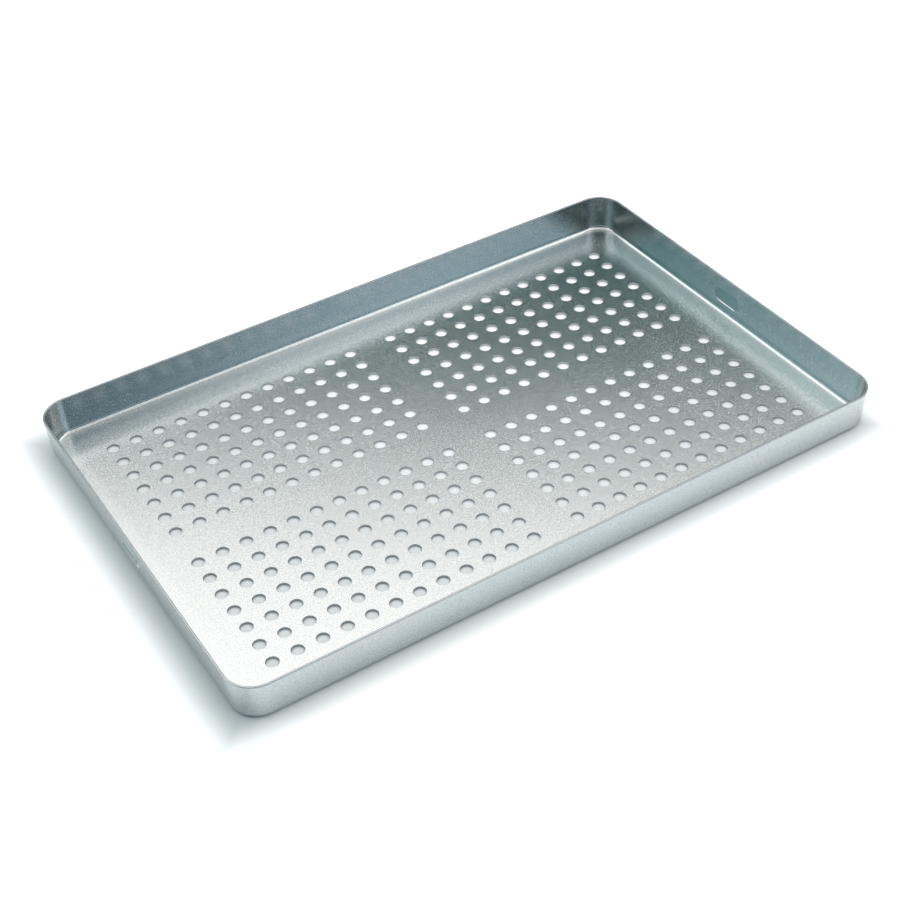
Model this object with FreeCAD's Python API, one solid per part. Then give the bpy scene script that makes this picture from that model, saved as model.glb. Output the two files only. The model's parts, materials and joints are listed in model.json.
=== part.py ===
import FreeCAD, Part
import math
import os

# Perforated instrument tray, pressed in one piece from stainless sheet.
# Sizes are in millimetres: X runs along the tray, Y across it and Z up.
# The origin is the middle of the underside, on the surface that the tray stands on.

# the pan
tray_length = 284.0         # over the rim, along X
tray_width = 184.0          # over the rim, along Y
tray_height = 17.0          # underside to rim
sheet = 1.0                 # thickness of the metal, floor and walls alike
wall_draft = 3.5            # degrees by which each wall leans outwards
rim_corner_radius = 12.0    # corner in plan, outside of the rim
bend_radius = 2.0           # inside of the bend between floor and wall
rim_chamfer = 0.3           # the cut edge of the rim is broken inside and outside

# the perforation: four fields of holes on one square grid, with a plain cross between them
hole_diameter = 5.0
hole_flats = 8              # a drain hole's round is drawn with this many flats, to stay light
hole_pitch = 10.0           # between centres, along X and along Y
cross_gap = 20.0            # between the two rows of centres on either side of the plain cross
rim_margin = 20.0           # least distance from a centre to the outside of the rim

# the plain pressed panel in the middle of each short wall, with half-round ends
panel_length = 16.0         # along Y
panel_height = 6.5          # up the wall
panel_above_bend = 2.0      # flat wall between the bend and the panel
panel_depth = 0.35          # pressed outwards by this much, so the rim stays the widest
panel_slope = 45.0          # degrees between the panel's edge and the wall's normal

# worked out from the sizes above
draft = math.radians(wall_draft)
wall_across = sheet / math.cos(draft)           # level width of the leaning wall
rim_break = min(rim_chamfer, 0.45 * sheet)      # two broken edges fit on the rim
break_in = rim_break * math.sin(draft)          # level and upright shares of the break,
break_down = rim_break * math.cos(draft)        # measured down the leaning wall
outer_bend = bend_radius + sheet
straight_x = tray_length - 2.0 * rim_corner_radius
straight_y = tray_width - 2.0 * rim_corner_radius


def outer_face(half_width, level):
    """How far out the wall's outside is at a level, where the broken rim is half_width out."""
    return half_width + break_in - (tray_height - level) * math.tan(draft)


def rounded_profile(points, radii):
    """A face in the XZ plane: the polygon of points, each corner rounded by its own radius."""
    corners = [FreeCAD.Vector(x, 0.0, z) for x, z in points]
    stops = []
    for i, (corner, radius) in enumerate(zip(corners, radii)):
        back = (corners[i - 1] - corner).normalize()
        ahead = (corners[(i + 1) % len(corners)] - corner).normalize()
        if radius == 0.0:
            stops.append((corner, None, corner))
            continue
        half = 0.5 * back.getAngle(ahead)
        reach = radius / math.tan(half)
        middle = (back + ahead).normalize() * (radius / math.sin(half) - radius)
        stops.append((corner + back * reach, corner + middle, corner + ahead * reach))
    edges = []
    for i, (start, middle, end) in enumerate(stops):
        if middle is not None:
            edges.append(Part.Arc(start, middle, end).toShape())
        edges.append(Part.makeLine(end, stops[(i + 1) % len(stops)][0]))
    return Part.Face(Part.Wire(edges))


def wall_section():
    """Section of floor and wall: X is the distance out from a corner's upright axis."""
    outer_rim = outer_face(rim_corner_radius, tray_height)
    inner_rim = outer_rim - wall_across
    points_and_radii = [
        ((0.0, 0.0), 0.0),
        ((outer_face(rim_corner_radius, 0.0), 0.0), outer_bend),
        ((outer_rim - break_in, tray_height - break_down), 0.0),
        ((outer_rim - rim_break, tray_height), 0.0),
        ((inner_rim + rim_break, tray_height), 0.0),
        ((inner_rim - break_in, tray_height - break_down), 0.0),
        ((outer_face(rim_corner_radius, sheet) - wall_across, sheet), bend_radius),
        ((0.0, sheet), 0.0),
    ]
    points, radii = zip(*points_and_radii)
    return rounded_profile(points, radii)


def turned(shape, quarter, x, y):
    """The shape turned by quarter turns about its own upright axis and moved to (x, y)."""
    copy = shape.copy()
    copy.rotate(FreeCAD.Vector(0, 0, 0), FreeCAD.Vector(0, 0, 1), 90.0 * quarter)
    copy.translate(FreeCAD.Vector(x, y, 0))
    return copy


def plain_pan():
    """The pan before it is pierced: the section revolved at the corners and drawn along the walls."""
    section = wall_section()
    upright = FreeCAD.Vector(0, 0, 1)
    corner = section.revolve(FreeCAD.Vector(0, 0, 0), upright, 90.0)
    end_wall = section.extrude(FreeCAD.Vector(0, straight_y, 0))
    side_wall = section.extrude(FreeCAD.Vector(0, straight_x, 0))
    half_x = 0.5 * straight_x
    half_y = 0.5 * straight_y
    floor = Part.makeBox(straight_x, straight_y, sheet, FreeCAD.Vector(-half_x, -half_y, 0))
    pieces = [
        turned(corner, 0, half_x, half_y),
        turned(corner, 1, -half_x, half_y),
        turned(corner, 2, -half_x, -half_y),
        turned(corner, 3, half_x, -half_y),
        turned(end_wall, 0, half_x, -half_y),
        turned(side_wall, 1, half_x, half_y),
        turned(end_wall, 2, -half_x, half_y),
        turned(side_wall, 3, -half_x, -half_y),
    ]
    return floor.fuse(pieces).removeSplitter()


def stadium(length, height, out):
    """A wire with half-round ends in the plane X = out, centred on the X axis."""
    r = 0.5 * height
    y = 0.5 * length - r
    vec = FreeCAD.Vector
    return Part.Wire([
        Part.makeLine(vec(out, -y, -r), vec(out, y, -r)),
        Part.Arc(vec(out, y, -r), vec(out, y + r, 0), vec(out, y, r)).toShape(),
        Part.makeLine(vec(out, y, r), vec(out, -y, r)),
        Part.Arc(vec(out, -y, r), vec(out, -y - r, 0), vec(out, -y, -r)).toShape(),
    ])


def panel_form(start, end):
    """The pressed form between two distances out of the wall's face, narrower further out."""
    taper = math.tan(math.radians(panel_slope))
    wires = []
    for out in (start, end):
        spread = -2.0 * out * taper
        wires.append(stadium(panel_length + spread, panel_height + spread, out))
    return Part.makeLoft(wires, True, True)


def press_panels(pan):
    """Presses a plain panel outwards in the middle of both short walls."""
    bend_top = outer_bend * (1.0 - math.sin(draft))
    level = bend_top + (panel_above_bend + 0.5 * panel_height) * math.cos(draft)
    face = outer_face(0.5 * tray_length, level)
    raised = panel_form(-0.5 * sheet, panel_depth)
    hollow = raised.copy()
    hollow.translate(FreeCAD.Vector(-sheet, 0, 0))
    for form in (raised, hollow):
        form.rotate(FreeCAD.Vector(0, 0, 0), FreeCAD.Vector(0, 1, 0), wall_draft)
        form.translate(FreeCAD.Vector(face, 0, level))
    for quarter in (0, 2):
        pan = pan.fuse(turned(raised, quarter, 0, 0))
        pan = pan.cut(turned(hollow, quarter, 0, 0))
    return pan


def field_stations(width):
    """Centres across one direction: as many as fit inside the rim's margin, on both sides."""
    first = 0.5 * cross_gap
    count = int((0.5 * width - rim_margin - first) / hole_pitch + 1e-6) + 1
    outward = [first + k * hole_pitch for k in range(count)]
    return [-x for x in reversed(outward)] + outward


def drain_punch(radius, low, depth):
    """An upright prism with as much open area as the round hole that it stands for."""
    turn = 2.0 * math.pi / hole_flats
    reach = radius * math.sqrt(turn / math.sin(turn))
    angles = [(k + 0.5) * turn for k in range(hole_flats)]
    corners = [FreeCAD.Vector(reach * math.cos(a), reach * math.sin(a), low) for a in angles]
    outline = Part.makePolygon(corners + corners[:1])
    return Part.Face(outline).extrude(FreeCAD.Vector(0, 0, depth))


def pierce(pan):
    """Punches the four fields of holes through the floor.

    The four outermost holes can take the pins of a holder, so those are exact cylinders.
    """
    radius = 0.5 * hole_diameter
    low = -sheet
    depth = 3.0 * sheet
    pin_hole = Part.makeCylinder(radius, depth, FreeCAD.Vector(0, 0, low))
    drain_hole = drain_punch(radius, low, depth)
    along = field_stations(tray_length)
    across = field_stations(tray_width)
    punches = []
    for x in along:
        for y in across:
            outermost = abs(x) == along[-1] and abs(y) == across[-1]
            punches.append(turned(pin_hole if outermost else drain_hole, 0, x, y))
    return pan.cut(Part.makeCompound(punches))


tray = pierce(press_panels(plain_pan()))
os.makedirs("parts", exist_ok=True)
tray.Solids[0].exportStep("parts/tray_pan.step")

size = tray.optimalBoundingBox(False, False)
print("solids", len(tray.Solids), "faces", len(tray.Faces))
print("size", round(size.XLength, 2), round(size.YLength, 2), round(size.ZLength, 2))
print("volume in cubic millimetres", round(tray.Volume, 1))
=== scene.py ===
import bpy
import json
import math
from mathutils import Matrix, Vector
from mathutils.geometry import delaunay_2d_cdt


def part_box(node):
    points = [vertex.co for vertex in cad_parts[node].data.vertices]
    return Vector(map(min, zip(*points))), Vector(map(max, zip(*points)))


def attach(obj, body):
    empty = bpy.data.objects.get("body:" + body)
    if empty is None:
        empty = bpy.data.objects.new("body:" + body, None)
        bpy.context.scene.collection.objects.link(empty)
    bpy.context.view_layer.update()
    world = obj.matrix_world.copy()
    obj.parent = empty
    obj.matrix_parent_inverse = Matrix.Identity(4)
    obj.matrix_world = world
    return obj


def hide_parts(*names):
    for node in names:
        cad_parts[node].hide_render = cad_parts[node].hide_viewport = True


# Perforated instrument tray of satin stainless sheet, standing on a white table in soft light.
# Sizes are in metres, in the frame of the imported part: X along the tray, Y across it, Z up.

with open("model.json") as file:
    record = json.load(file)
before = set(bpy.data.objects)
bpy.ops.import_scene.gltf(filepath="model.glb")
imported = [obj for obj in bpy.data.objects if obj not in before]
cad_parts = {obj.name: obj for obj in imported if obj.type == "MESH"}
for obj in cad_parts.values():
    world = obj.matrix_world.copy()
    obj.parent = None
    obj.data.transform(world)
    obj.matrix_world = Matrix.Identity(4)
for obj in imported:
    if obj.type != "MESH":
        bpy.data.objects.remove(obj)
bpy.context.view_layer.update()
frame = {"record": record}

MM = 0.001

# from the frame: the tray's outside and the pattern of its four outermost holes
_, tray_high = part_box("tray_pan")
mounts = {mount["name"]: mount for mount in frame["record"]["mounts"]}
corner_holes = mounts["corner_holes"]
FAR_HOLE_X = 0.5 * corner_holes["dims"]["spacing_x_mm"] * MM
FAR_HOLE_Y = 0.5 * corner_holes["dims"]["spacing_y_mm"] * MM
HOLE_RADIUS = corner_holes["dims"]["hole_r_mm"] * MM
SHEET = corner_holes["pos_m"][2]        # the pattern lies on the upper face of the floor
HALF_LENGTH, HALF_WIDTH, HEIGHT = tray_high

# the rest of the pan, which is drawn out from the four corners in turn
CORNER_SIDES = ((1, 1), (-1, 1), (-1, -1), (1, -1))
DRAFT = math.radians(3.5)               # lean of the walls
RIM_CORNER_RADIUS = 12.0 * MM
BEND_RADIUS = 2.0 * MM                  # inside of the bend between floor and wall
DIP_WIDTH = 7.0 * MM                    # the floor sinks a little towards the bend
DIP_DEPTH = 0.12 * MM
RIM_EDGE_RADIUS = 0.32 * MM             # rounding of the rim's two edges, with a flat between
RIM_BREAK = 0.3 * MM                    # the break that the solid has there
HOLE_EDGE_RADIUS = 0.12 * MM            # the punch leaves the rim of each hole a little round
HOLE_PITCH = 10.0 * MM
FIRST_HOLE = 10.0 * MM                  # from the middle lines to the nearest hole centres

# the plain pressed panel in each short wall
PANEL_LENGTH = 16.0 * MM
PANEL_HEIGHT = 6.5 * MM
PANEL_ABOVE_BEND = 2.0 * MM
PANEL_DEPTH = 0.34 * MM
PANEL_SLOPE_WIDTH = 0.3 * MM            # the slope from the wall down to the panel's flat

# steps of the mesh
CORNER_STEPS = 20
BEND_STEPS = 8
DIP_STEPS = 6
EDGE_STEPS = 4
HOLE_STEPS = 32
PANEL_END_STEPS = 16
PANEL_SLOPE_STEPS = 4

# filling of the flat stretches: the kind of result asked for, and how close points are the same
TRIANGLES_INSIDE = 1
SAME_POINT = 1e-9

STUDIO_AZIMUTH = math.radians(36.0)     # the studio's back wall stands square to this, right of +Y
SOFTBOX_COLOUR = (1.0, 0.93, 0.89)
SOFTBOX_HEIGHT = 0.80

# the softbox's panels: left, right, front, back and radiance; the one over the tray is dimmed
SOFTBOX_PANELS = (
    (-0.84, 0.92, 0.20, 0.88, 1.98),
    (-0.84, 0.92, -0.50, -0.38, 1.98),
    (-0.84, -0.45, -0.38, 0.20, 1.98),
    (0.40, 0.92, -0.38, 0.20, 1.98),
    (-0.45, 0.40, -0.38, 0.20, 0.90),
)

ROOM_COLOUR = (0.01, 0.085, 0.09)
COVE = (12.0, 8.0)                      # the room turns white between these elevations

# windows low in the room: azimuth, elevation, half width and soft edge in degrees, colour, radiance
WINDOWS = (
    (115.0, 27.0, 7.0, 3.0, (0.80, 0.97, 1.05), 1.45),
    (-98.0, 33.0, 8.5, 3.0, (0.85, 1.00, 1.10), 1.55),
    (-130.0, 33.0, 5.0, 2.0, (0.55, 0.92, 1.10), 1.4),
    (-78.0, 24.0, 22.0, 10.0, (0.12, 0.95, 1.05), 0.22),
    (128.0, 26.0, 22.0, 10.0, (0.10, 0.55, 1.00), 0.14),
    (152.0, 20.0, 15.0, 9.0, (1.00, 0.88, 0.82), 0.16),
    (-138.0, 18.0, 15.0, 9.0, (1.00, 0.88, 0.82), 0.12),
)

# the table, which lies a hair below the tray's underside
TABLE_HALF = 30.0
TABLE_DROP = 0.05 * MM
TABLE_COLOUR = (0.82, 0.85, 0.875)
TABLE_ROUGHNESS = 0.9
TABLE_SPECKLE_PER_M = 400.0
TABLE_SPECKLE_LEVELS = (-1.5, 1.5)      # wider than the noise, so that the speckle stays faint
TABLE_TONES = (0.06, 0.95)              # the speckle's spread of tone and its darkest tone

# white that the table gains where it is seen directly, against the softbox's uneven light, and
# painted light: a glowing pool under the tray
TABLE_LIFT = 0.55                       # gained beside the tray
TABLE_FADE = (-5.0 * MM, 12.0 * MM)     # from inside the tray's edge to where that lift is full
PAINTED_SHADE_SHIFT = (-4.0 * MM, 1.0 * MM)     # painted shade: the unlifted ground round the tray is shifted this much aside, so it reaches farther on the left
TABLE_FAR = (0.15, 0.7)                 # distances from the tray over which the lift grows to 1
PAINTED_POOL_LIGHT = 0.26                       # painted light: a soft glowing pool on the table under the tray, seen through the holes
PAINTED_POOL_CENTRE = (40.0 * MM, 50.0 * MM)
PAINTED_POOL_FADE = (150.0 * MM, 30.0 * MM)     # distances from the centre of the painted pool of light where it is nothing and full

# fine scratches: their length and width, and their runs' bearings in degrees and starting points
SCRATCH_SIZE = (45.0 * MM, 0.35 * MM, 0.35 * MM)
SCRATCH_RUNS = ((12.0, 3.1), (-34.0, 7.7), (71.0, 11.3))
SCRATCH_LEVELS = (0.77, 0.85)           # levels of the noise between which a scratch comes in
SCRATCH_DEPTH = 0.03                    # against the grain's own depth
SCRATCH_GLOSS = 0.08                    # how much rougher the metal is in a scratch

NOISE_ROUGHNESS = 0.6                   # how much the finer layers of every noise count
SPECKLE_SHARE = 0.5                     # grains of the speckle of tone for each of the relief's
DRIFT_IN_TONE = 0.35                    # share of the drift that shows in the tone

SATIN, CUT, BURNISHED = 0, 1, 2         # slots of the tray's three finishes

# the camera of the photograph, in metres and degrees
CAMERA_PLACE = (-0.25109, -0.42673, 0.41007)
CAMERA_AIM = (-0.00158, -0.01694, 0.0)
CAMERA_LEAN = -2.388
CAMERA_CLIP = (0.01, 100.0)

# its lens in millimetres, and in pixels the picture's side and the spot straight ahead of the lens
SENSOR_WIDTH = 36.0
FOCAL_LENGTH = 62.505
PICTURE_SIDE = 912.0
PICTURE_AXIS = (475.999, 455.148)


class Skin:
    """A mesh in the making: points with their true normals, and faces with a material slot."""

    def __init__(self):
        self.points = []
        self.normals = []
        self.faces = []
        self.slots = []

    def point(self, place, normal):
        """Adds a point and its normal. Returns its number."""
        self.points.append(Vector(place))
        self.normals.append(Vector(normal).normalized())
        return len(self.points) - 1

    def face(self, corners, slot):
        """A face, wound so that it looks the way its points' normals do."""
        a, b, c = (self.points[corner] for corner in corners[:3])
        normals = sum((self.normals[corner] for corner in corners), Vector())
        if (b - a).cross(c - a).dot(normals) < 0.0:
            corners = corners[::-1]
        self.faces.append(tuple(corners))
        self.slots.append(slot)

    def band(self, ring_a, ring_b, slot, skip=()):
        """Quads between two closed rings; skip lists the columns that are left open."""
        count = len(ring_a)
        for k in range(count):
            if k in skip:
                continue
            after = (k + 1) % count
            self.face((ring_a[k], ring_a[after], ring_b[after], ring_b[k]), slot)

    def plate(self, outline, holes, flat, slot):
        """Fills a flat stretch between an outline and the rings of its rounded holes.

        flat gives the two coordinates of a point in the plane of the plate.
        """
        loops = [outline] + holes
        used = [index for loop in loops for index in loop]
        hole_of = {index: k for k, loop in enumerate(holes) for index in loop}
        spots = [Vector(flat(self.points[index])) for index in used]
        edges = []
        start = 0
        for loop in loops:
            size = len(loop)
            edges += [(start + k, start + (k + 1) % size) for k in range(size)]
            start += size
        filled = delaunay_2d_cdt(spots, edges, [], TRIANGLES_INSIDE, SAME_POINT)
        triangles, origins = filled[2], filled[3]
        for corners in triangles:
            face = [used[origins[corner][0]] for corner in corners]
            # a triangle whose corners all lie on one hole's ring would close that hole
            touched = {hole_of.get(index) for index in face}
            if len(touched) > 1 or None in touched:
                self.face(face, slot)

    def piece(self, name, materials):
        """The finished object, with the true normals set on it."""
        mesh = bpy.data.meshes.new(name)
        mesh.from_pydata(self.points, [], self.faces)
        for material in materials:
            mesh.materials.append(material)
        mesh.polygons.foreach_set("material_index", self.slots)
        mesh.polygons.foreach_set("use_smooth", [True] * len(self.faces))
        mesh.update()
        mesh.normals_split_custom_set_from_vertices(self.normals)
        piece = bpy.data.objects.new(name, mesh)
        bpy.context.collection.objects.link(piece)
        return piece


def rounded_section(corners):
    """Arcs at the inner corners of an open line of (out, up, radius, steps), with normals.

    The line's left side is the open side of the sheet. Each arc is a list of
    (out, up, normal_out, normal_up).
    """
    arcs = []
    for before, corner, after in zip(corners, corners[1:], corners[2:]):
        radius, steps = corner[2:]
        place = Vector(corner[:2])
        come = (place - Vector(before[:2])).normalized()
        leave = (Vector(after[:2]) - place).normalized()
        turn = math.atan2(come.x * leave.y - come.y * leave.x, come.dot(leave))
        side = math.copysign(1.0, turn)
        reach = radius * math.tan(0.5 * abs(turn))
        left = Vector((-come.y, come.x))
        middle = place - come * reach + left * side * radius
        arc = []
        for k in range(steps + 1):
            angle = turn * k / steps
            normal = Matrix.Rotation(angle, 2) @ left
            spot = middle - normal * side * radius
            arc.append((spot.x, spot.y, normal.x, normal.y))
        arcs.append(arc)
    return arcs


def pan_section():
    """The pan's section, out from the upright axis of a corner: up the inside, down the outside."""
    break_in = RIM_BREAK * math.sin(DRAFT)
    outer_rim = RIM_CORNER_RADIUS + break_in
    inner_rim = outer_rim - SHEET / math.cos(DRAFT)
    lean = math.tan(DRAFT)
    foot = SHEET - DIP_DEPTH
    arcs = rounded_section([
        (0.0, foot),
        (inner_rim - (HEIGHT - foot) * lean, foot, BEND_RADIUS, BEND_STEPS),
        (inner_rim, HEIGHT, RIM_EDGE_RADIUS, EDGE_STEPS),
        (outer_rim, HEIGHT, RIM_EDGE_RADIUS, EDGE_STEPS),
        (outer_rim - HEIGHT * lean, 0.0, BEND_RADIUS + SHEET, BEND_STEPS),
        (0.0, 0.0),
    ])
    dip = []
    for k in range(DIP_STEPS):
        t = k / DIP_STEPS
        out = arcs[0][0][0] - DIP_WIDTH * (1.0 - t)
        slope = DIP_DEPTH * 6.0 * t * (1.0 - t) / DIP_WIDTH
        dip.append((out, SHEET - DIP_DEPTH * t * t * (3.0 - 2.0 * t), slope, 1.0))
    arcs[0] = dip + arcs[0]
    return arcs


def pan_columns():
    """(x, y, direction) of every column round the pan, and the columns where short walls start."""
    columns = []
    wall_starts = {}
    for quarter, (side_x, side_y) in enumerate(CORNER_SIDES):
        x = side_x * (HALF_LENGTH - RIM_CORNER_RADIUS)
        y = side_y * (HALF_WIDTH - RIM_CORNER_RADIUS)
        for k in range(CORNER_STEPS + 1):
            angle = 0.5 * math.pi * (quarter + k / CORNER_STEPS)
            columns.append((x, y, math.cos(angle), math.sin(angle)))
        if side_x * side_y < 0:
            wall_starts[len(columns) - 1] = side_x
    return columns, wall_starts


def field_stations(last):
    """Hole centres along one direction, on both sides of the plain cross."""
    count = round((last - FIRST_HOLE) / HOLE_PITCH) + 1
    outward = [FIRST_HOLE + k * HOLE_PITCH for k in range(count)]
    return [-station for station in reversed(outward)] + outward


def hole_rings(skin, x, y):
    """One punched hole: its two rounded edges and its wall. Returns its upper and lower ring."""
    wide = HOLE_RADIUS + HOLE_EDGE_RADIUS
    levels = (
        (wide, SHEET, 0.0, 1.0),
        (HOLE_RADIUS, SHEET - HOLE_EDGE_RADIUS, 1.0, 0.0),
        (HOLE_RADIUS, HOLE_EDGE_RADIUS, 1.0, 0.0),
        (wide, 0.0, 0.0, -1.0),
    )
    rings = []
    for radius, level, inward, upward in levels:
        ring = []
        for k in range(HOLE_STEPS):
            angle = 2.0 * math.pi * k / HOLE_STEPS
            c, s = math.cos(angle), math.sin(angle)
            place = (x + radius * c, y + radius * s, level)
            ring.append(skin.point(place, (-inward * c, -inward * s, upward)))
        rings.append(ring)
    for upper, lower in zip(rings, rings[1:]):
        skin.band(lower, upper, CUT)
    return rings[0], rings[-1]


def stadium(length, height):
    """Points (across, up) of an outline with half-round ends, and the directions out of it."""
    radius = 0.5 * height
    straight = 0.5 * length - radius
    points = []
    for side in (1, -1):
        for k in range(PANEL_END_STEPS + 1):
            angle = math.pi * (k / PANEL_END_STEPS - 0.5)
            c, s = side * math.cos(angle), side * math.sin(angle)
            points.append((side * straight + radius * c, radius * s, c, s))
    return points


def pressed_panel(skin, wall_quad, side, inside):
    """The plain panel in a short wall, on its inner or outer face, with the flat wall round it."""
    bend_top = (BEND_RADIUS + SHEET) * (1.0 - math.sin(DRAFT))
    level = bend_top + (PANEL_ABOVE_BEND + 0.5 * PANEL_HEIGHT) * math.cos(DRAFT)
    face = HALF_LENGTH + RIM_BREAK * math.sin(DRAFT) - (HEIGHT - level) * math.tan(DRAFT)
    out = Vector((side * math.cos(DRAFT), 0.0, -math.sin(DRAFT)))
    up = Vector((side * math.sin(DRAFT), 0.0, math.cos(DRAFT)))
    across = Vector((0.0, 1.0, 0.0))
    middle = Vector((side * face, 0.0, level)) - out * (SHEET if inside else 0.0)
    facing = -1.0 if inside else 1.0
    rings = []
    for k in range(PANEL_SLOPE_STEPS + 1):
        t = k / PANEL_SLOPE_STEPS
        rise = PANEL_DEPTH * t * t * (3.0 - 2.0 * t)
        steep = PANEL_DEPTH * 6.0 * t * (1.0 - t) / PANEL_SLOPE_WIDTH
        shrink = 2.0 * PANEL_SLOPE_WIDTH * t
        ring = []
        for a, b, out_a, out_b in stadium(PANEL_LENGTH - shrink, PANEL_HEIGHT - shrink):
            place = middle + across * a + up * b + out * rise
            normal = out + (across * out_a + up * out_b) * steep
            ring.append(skin.point(place, normal * facing))
        rings.append(ring)
    for ring_a, ring_b in zip(rings, rings[1:]):
        skin.band(ring_a, ring_b, BURNISHED)
    skin.face(rings[-1], BURNISHED)
    skin.plate(wall_quad, [rings[0]], lambda p: (p.y, (p - middle).dot(up)), SATIN)


def build_tray(materials):
    """The whole tray as one closed skin."""
    skin = Skin()
    columns, wall_starts = pan_columns()
    arcs = []
    for arc in pan_section():
        rings = []
        for out, up, normal_out, normal_up in arc:
            ring = []
            for x, y, cx, cy in columns:
                place = (x + out * cx, y + out * cy, up)
                ring.append(skin.point(place, (normal_out * cx, normal_out * cy, normal_up)))
            rings.append(ring)
        arcs.append(rings)
    inner_bend, inner_edge, outer_edge, outer_bend = arcs
    arc_slots = ((inner_bend, SATIN), (inner_edge, CUT), (outer_edge, CUT), (outer_bend, SATIN))
    for rings, slot in arc_slots:
        for ring_a, ring_b in zip(rings, rings[1:]):
            skin.band(ring_a, ring_b, slot)
    skin.band(inner_edge[-1], outer_edge[0], CUT)
    walls = ((inner_bend[-1], inner_edge[0], True), (outer_edge[-1], outer_bend[0], False))
    for ring_a, ring_b, inside in walls:
        skin.band(ring_a, ring_b, SATIN, skip=wall_starts)
        for start, side in wall_starts.items():
            after = (start + 1) % len(columns)
            quad = (ring_a[start], ring_a[after], ring_b[after], ring_b[start])
            pressed_panel(skin, quad, side, inside)
    uppers, lowers = [], []
    for x in field_stations(FAR_HOLE_X):
        for y in field_stations(FAR_HOLE_Y):
            upper, lower = hole_rings(skin, x, y)
            uppers.append(upper)
            lowers.append(lower)
    skin.plate(inner_bend[0], uppers, lambda p: (p.x, p.y), SATIN)
    skin.plate(outer_bend[-1], lowers, lambda p: (p.x, p.y), SATIN)
    return skin.piece("tray", materials)


def new_material(name):
    """A material, its node tree and its shader."""
    material = bpy.data.materials.new(name)
    material.use_nodes = True
    tree = material.node_tree
    shader = tree.nodes["Principled BSDF"]
    return material, tree, shader


def math_node(tree, operation, *values):
    """The output of a math node on sockets or plain numbers."""
    node = tree.nodes.new("ShaderNodeMath")
    node.operation = operation
    for socket, value in zip(node.inputs, values):
        if isinstance(value, bpy.types.NodeSocket):
            tree.links.new(value, socket)
        else:
            socket.default_value = value
    return node.outputs[0]


def band_of(tree, value, start, end):
    """A value that rises smoothly from 0 to 1 while another goes from start to end."""
    node = tree.nodes.new("ShaderNodeMapRange")
    node.interpolation_type = "SMOOTHSTEP"
    node.inputs["From Min"].default_value = start
    node.inputs["From Max"].default_value = end
    tree.links.new(value, node.inputs["Value"])
    return node.outputs["Result"]


def noise_node(tree, where, scale, detail):
    """The output of a noise texture, whose scale is a socket or a plain number."""
    node = tree.nodes.new("ShaderNodeTexNoise")
    node.inputs["Detail"].default_value = detail
    node.inputs["Roughness"].default_value = NOISE_ROUGHNESS
    tree.links.new(where, node.inputs["Vector"])
    if isinstance(scale, bpy.types.NodeSocket):
        tree.links.new(scale, node.inputs["Scale"])
    else:
        node.inputs["Scale"].default_value = scale
    return node.outputs["Fac"]


def new_group(name, inputs, outputs):
    """A node group with number sockets: its tree, its input sockets and its output node."""
    group = bpy.data.node_groups.new(name, "ShaderNodeTree")
    number = "NodeSocketFloat"
    for socket_name, value in inputs:
        socket = group.interface.new_socket(socket_name, in_out="INPUT", socket_type=number)
        socket.default_value = value
    for socket_name in outputs:
        group.interface.new_socket(socket_name, in_out="OUTPUT", socket_type=number)
    entry = group.nodes.new("NodeGroupInput")
    leave = group.nodes.new("NodeGroupOutput")
    return group, entry.outputs, leave.inputs


def grain_group():
    """Node group: the fine frosted grain of rolled and satin-finished sheet."""
    group, given, result = new_group(
        "satin grain",
        (("Grain per mm", 2.0), ("Streak", 1.5), ("Tone Spread", 0.5)),
        ("Tone", "Height"))
    where = group.nodes.new("ShaderNodeTexCoord").outputs["Object"]
    squeeze = group.nodes.new("ShaderNodeCombineXYZ")
    squeeze.inputs["Y"].default_value = 1.0
    squeeze.inputs["Z"].default_value = 1.0
    group.links.new(math_node(group, "DIVIDE", 1.0, given["Streak"]), squeeze.inputs["X"])
    stretch = group.nodes.new("ShaderNodeVectorMath")
    stretch.operation = "MULTIPLY"
    group.links.new(where, stretch.inputs[0])
    group.links.new(squeeze.outputs[0], stretch.inputs[1])
    per_metre = math_node(group, "DIVIDE", given["Grain per mm"], MM)
    grain = noise_node(group, stretch.outputs[0], per_metre, detail=2.0)
    coarser = math_node(group, "MULTIPLY", per_metre, SPECKLE_SHARE)
    speckle = noise_node(group, stretch.outputs[0], coarser, detail=1.0)
    centred = math_node(group, "SUBTRACT", speckle, 0.5)
    tone = math_node(group, "MULTIPLY_ADD", centred, given["Tone Spread"], 1.0)
    group.links.new(tone, result["Tone"])
    group.links.new(grain, result["Height"])
    return group


def scratch_field(tree, where, bearing, seed):
    """Long fine scratches that run at a bearing in degrees, as a mask of thin broken lines."""
    turn = tree.nodes.new("ShaderNodeMapping")
    turn.vector_type = "TEXTURE"
    turn.inputs["Rotation"].default_value = (0.0, 0.0, math.radians(bearing))
    turn.inputs["Location"].default_value = (seed, 0.0, 0.0)
    turn.inputs["Scale"].default_value = SCRATCH_SIZE
    tree.links.new(where, turn.inputs["Vector"])
    noise = noise_node(tree, turn.outputs[0], 1.0, detail=0.0)
    return band_of(tree, noise, *SCRATCH_LEVELS)


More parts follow.
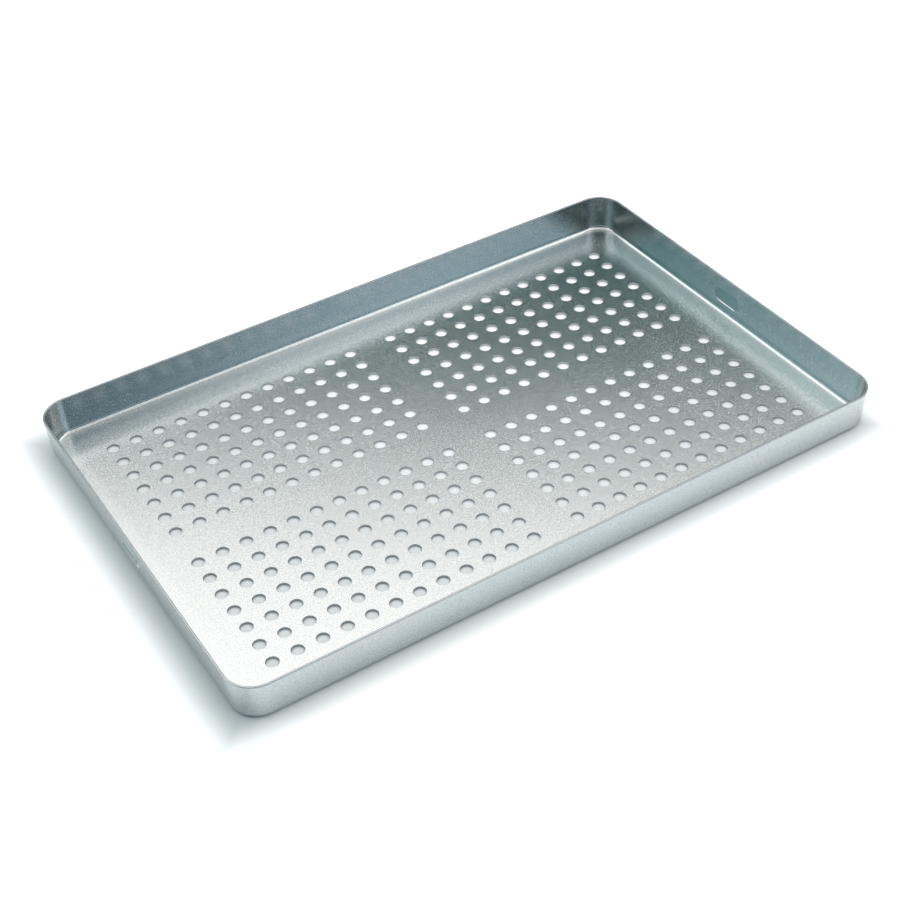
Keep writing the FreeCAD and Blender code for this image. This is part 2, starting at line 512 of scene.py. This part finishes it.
def handling_group():
    """Node group: slow drift of tone and gloss from rolling and washing, and fine scratches."""
    group, given, result = new_group(
        "handling marks",
        (("Drift per m", 14.0), ("Drift", 0.3), ("Scratches", 1.0)),
        ("Tone", "Gloss", "Height"))
    where = group.nodes.new("ShaderNodeTexCoord").outputs["Object"]
    cloud = noise_node(group, where, given["Drift per m"], detail=4.0)
    centred = math_node(group, "SUBTRACT", cloud, 0.5)
    drift = math_node(group, "MULTIPLY", centred, given["Drift"])
    lines = None
    for bearing, seed in SCRATCH_RUNS:
        run = scratch_field(group, where, bearing, seed)
        lines = run if lines is None else math_node(group, "MAXIMUM", lines, run)
    marks = math_node(group, "MULTIPLY", lines, given["Scratches"])
    group.links.new(math_node(group, "MULTIPLY_ADD", drift, DRIFT_IN_TONE, 1.0), result["Tone"])
    worn = math_node(group, "MULTIPLY_ADD", marks, SCRATCH_GLOSS, 1.0)
    group.links.new(math_node(group, "ADD", drift, worn), result["Gloss"])
    group.links.new(math_node(group, "MULTIPLY", marks, -1.0), result["Height"])
    return group


def place_group(tree, group, values):
    """Places a group in a material with its own values. Returns the group's output sockets."""
    node = tree.nodes.new("ShaderNodeGroup")
    node.node_tree = group
    for name, value in values.items():
        node.inputs[name].default_value = value
    return node.outputs


def metal(name, colour, roughness, depth, grain_values, mark_values):
    """Stainless sheet with grain, drift and marks in its tone, its gloss and its surface.

    depth is the height of the grain's relief.
    """
    material, tree, shader = new_material(name)
    shader.inputs["Metallic"].default_value = 1.0
    grain = place_group(tree, grain_effect, grain_values)
    marks = place_group(tree, handling_effect, mark_values)
    tint = tree.nodes.new("ShaderNodeVectorMath")
    tint.operation = "SCALE"
    tint.inputs[0].default_value = colour
    tree.links.new(math_node(tree, "MULTIPLY", grain["Tone"], marks["Tone"]), tint.inputs["Scale"])
    tree.links.new(tint.outputs[0], shader.inputs["Base Color"])
    gloss = math_node(tree, "MULTIPLY", grain["Tone"], marks["Gloss"])
    tree.links.new(math_node(tree, "MULTIPLY", gloss, roughness), shader.inputs["Roughness"])
    bump = tree.nodes.new("ShaderNodeBump")
    bump.inputs["Strength"].default_value = 1.0
    bump.inputs["Distance"].default_value = depth
    relief = math_node(tree, "MULTIPLY_ADD", marks["Height"], SCRATCH_DEPTH, grain["Height"])
    tree.links.new(relief, bump.inputs["Height"])
    tree.links.new(bump.outputs[0], shader.inputs["Normal"])
    return material


def seen_directly(tree):
    """1 for the rays of the camera and for those that metal or glass shows, 0 for stray light."""
    path = tree.nodes.new("ShaderNodeLightPath")
    seen = math_node(tree, "ADD", path.outputs["Is Camera Ray"], path.outputs["Is Glossy Ray"])
    seen = math_node(tree, "ADD", seen, path.outputs["Is Transmission Ray"])
    return math_node(tree, "MINIMUM", seen, 1.0)


def outside_painted_shade(tree, where):
    """How far a place on the table lies outside the painted shade: the tray's outline shifted
    aside, inside which the table gains no white lift.
    """
    split = tree.nodes.new("ShaderNodeSeparateXYZ")
    tree.links.new(where, split.inputs[0])
    beyond = []
    for axis, shift, half in zip("XY", PAINTED_SHADE_SHIFT, (HALF_LENGTH, HALF_WIDTH)):
        shifted = math_node(tree, "SUBTRACT", split.outputs[axis], shift)
        aside = math_node(tree, "ABSOLUTE", shifted)
        beyond.append(math_node(tree, "SUBTRACT", aside, half))
    return math_node(tree, "MAXIMUM", *beyond)


def table_lift(tree, where):
    """The white that the table gains: beside the tray, farther off, and a painted pool of light
    under it.
    """
    outside = outside_painted_shade(tree, where)
    # where the lift is withheld the table's real shade shows; the shifted edge of that zone is
    # painted shade
    clear_of_painted_shade = band_of(tree, outside, *TABLE_FADE)
    beside = math_node(tree, "MULTIPLY", clear_of_painted_shade, TABLE_LIFT)
    far = band_of(tree, outside, *TABLE_FAR)
    outer = math_node(tree, "MULTIPLY_ADD", far, 1.0 - TABLE_LIFT, beside)
    reach = tree.nodes.new("ShaderNodeVectorMath")
    reach.operation = "DISTANCE"
    tree.links.new(where, reach.inputs[0])
    reach.inputs[1].default_value = (*PAINTED_POOL_CENTRE, 0.0)
    # painted light: a glowing pool on the table under the tray, brightest towards its back right
    pool = band_of(tree, reach.outputs["Value"], *PAINTED_POOL_FADE)
    under = math_node(tree, "SUBTRACT", 1.0, clear_of_painted_shade)
    painted_pool_under = math_node(tree, "MULTIPLY", pool, under)
    return math_node(tree, "MULTIPLY_ADD", painted_pool_under, PAINTED_POOL_LIGHT, outer)


def table_material():
    """White table: plain matt white, seen as white by the camera and in the metal, with its white
    withheld in a painted shade beside the tray and a painted pool of light under it.
    """
    material, tree, shader = new_material("white table")
    shader.inputs["Roughness"].default_value = TABLE_ROUGHNESS
    shader.inputs["Specular IOR Level"].default_value = 0.0
    where = tree.nodes.new("ShaderNodeTexCoord").outputs["Object"]
    noise = noise_node(tree, where, TABLE_SPECKLE_PER_M, detail=3.0)
    speckle = band_of(tree, noise, *TABLE_SPECKLE_LEVELS)
    tint = tree.nodes.new("ShaderNodeVectorMath")
    tint.operation = "SCALE"
    tint.inputs[0].default_value = TABLE_COLOUR
    tree.links.new(math_node(tree, "MULTIPLY_ADD", speckle, *TABLE_TONES), tint.inputs["Scale"])
    tree.links.new(tint.outputs[0], shader.inputs["Base Color"])
    shader.inputs["Emission Color"].default_value = (1.0, 1.0, 1.0, 1.0)
    strength = math_node(tree, "MULTIPLY", table_lift(tree, where), seen_directly(tree))
    tree.links.new(strength, shader.inputs["Emission Strength"])
    return material


def build_table():
    """The table: one wide level square."""
    mesh = bpy.data.meshes.new("table")
    far = TABLE_HALF
    corners = [(-far, -far, 0.0), (far, -far, 0.0), (far, far, 0.0), (-far, far, 0.0)]
    mesh.from_pydata(corners, [], [(0, 1, 2, 3)])
    mesh.materials.append(table_material())
    table = bpy.data.objects.new("table", mesh)
    table.location.z = -TABLE_DROP
    bpy.context.collection.objects.link(table)


def studio_direction(azimuth, elevation):
    """A direction in the studio in degrees: azimuth to the right of its back wall, and height."""
    bearing = STUDIO_AZIMUTH + math.radians(azimuth)
    rise = math.radians(elevation)
    level = math.cos(rise)
    return Vector((level * math.sin(bearing), level * math.cos(bearing), math.sin(rise)))


def build_softbox():
    """The wide softbox that hangs flat over the tray, with one dimmed panel."""
    for left, right, front, back, radiance in SOFTBOX_PANELS:
        lamp = bpy.data.lights.new("softbox", "AREA")
        lamp.shape = "RECTANGLE"
        lamp.size = right - left
        lamp.size_y = back - front
        lamp.energy = radiance * math.pi * lamp.size * lamp.size_y
        lamp.color = SOFTBOX_COLOUR
        holder = bpy.data.objects.new("softbox", lamp)
        middle = Vector((0.5 * (left + right), 0.5 * (front + back), SOFTBOX_HEIGHT))
        turn = Matrix.Rotation(-STUDIO_AZIMUTH, 4, "Z")
        holder.matrix_world = turn @ Matrix.Translation(middle)
        holder.visible_camera = False
        bpy.context.collection.objects.link(holder)


def along(tree, direction, axis):
    """How far the direction points along an axis."""
    node = tree.nodes.new("ShaderNodeVectorMath")
    node.operation = "DOT_PRODUCT"
    node.inputs[1].default_value = axis
    tree.links.new(direction, node.inputs[0])
    return node.outputs["Value"]


def add_light(tree, total, mask, colour, radiance):
    """Adds a light of the given colour and radiance where the mask is 1."""
    node = tree.nodes.new("ShaderNodeVectorMath")
    node.operation = "MULTIPLY_ADD"
    tree.links.new(mask, node.inputs[0])
    node.inputs[1].default_value = Vector(colour) * radiance
    if total is None:
        node.inputs[2].default_value = ROOM_COLOUR
    else:
        tree.links.new(total, node.inputs[2])
    return node.outputs[0]


def build_world():
    """The room: dark walls with windows and paler stretches, and a white cove along the ground."""
    world = bpy.data.worlds.new("room")
    bpy.context.scene.world = world
    world.use_nodes = True
    tree = world.node_tree
    nodes, links = tree.nodes, tree.links
    direction = nodes.new("ShaderNodeTexCoord").outputs["Generated"]
    total = None
    for azimuth, elevation, spread, edge, colour, radiance in WINDOWS:
        inward = along(tree, direction, studio_direction(azimuth, elevation))
        mask = band_of(tree, inward, math.cos(math.radians(spread + edge)),
                       math.cos(math.radians(spread - edge)))
        total = add_light(tree, total, mask, colour, radiance)
    room = nodes["Background"]
    links.new(total, room.inputs["Color"])
    white = nodes.new("ShaderNodeBackground")
    white.inputs["Color"].default_value = (1.0, 1.0, 1.0, 1.0)
    choose = nodes.new("ShaderNodeMixShader")
    height = along(tree, direction, (0.0, 0.0, 1.0))
    low = band_of(tree, height, *(math.sin(math.radians(angle)) for angle in COVE))
    links.new(math_node(tree, "MULTIPLY", low, seen_directly(tree)), choose.inputs["Fac"])
    links.new(room.outputs[0], choose.inputs[1])
    links.new(white.outputs[0], choose.inputs[2])
    links.new(choose.outputs[0], nodes["World Output"].inputs["Surface"])


def build_camera():
    """The camera of the photograph: place, point of aim, lean and frame."""
    lens = bpy.data.cameras.new("camera")
    lens.sensor_width = SENSOR_WIDTH
    lens.lens = FOCAL_LENGTH
    middle = 0.5 * PICTURE_SIDE
    lens.shift_x = (middle - PICTURE_AXIS[0]) / PICTURE_SIDE
    lens.shift_y = (PICTURE_AXIS[1] - middle) / PICTURE_SIDE
    lens.clip_start, lens.clip_end = CAMERA_CLIP
    holder = bpy.data.objects.new("camera", lens)
    place = Vector(CAMERA_PLACE)
    aim = (Vector(CAMERA_AIM) - place).to_track_quat("-Z", "Y").to_matrix()
    lean = Matrix.Rotation(math.radians(CAMERA_LEAN), 3, "Z")
    holder.matrix_world = Matrix.Translation(place) @ (aim @ lean).to_4x4()
    bpy.context.collection.objects.link(holder)
    bpy.context.scene.camera = holder


grain_effect = grain_group()
handling_effect = handling_group()

satin = metal(
    "satin stainless", colour=(0.54, 0.575, 0.585), roughness=0.235, depth=0.020 * MM,
    grain_values={"Grain per mm": 4.5, "Streak": 1.2, "Tone Spread": 0.72},
    mark_values={"Drift per m": 14.0, "Drift": 0.3, "Scratches": 0.5})
cut_edge = metal(
    "cut edge", colour=(0.38, 0.41, 0.43), roughness=0.28, depth=0.004 * MM,
    grain_values={"Grain per mm": 6.0, "Streak": 1.0, "Tone Spread": 0.3},
    mark_values={"Drift per m": 60.0, "Drift": 0.5, "Scratches": 0.0})
burnished = metal(
    "burnished panel", colour=(0.56, 0.59, 0.60), roughness=0.14, depth=0.012 * MM,
    grain_values={"Grain per mm": 2.0, "Streak": 1.0, "Tone Spread": 0.4},
    mark_values={"Drift per m": 40.0, "Drift": 0.5, "Scratches": 1.0})

tray = build_tray((satin, cut_edge, burnished))
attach(tray, "root")
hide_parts("tray_pan")

build_table()
build_softbox()
build_world()
build_camera()

bpy.context.scene.view_settings.view_transform = "Standard"
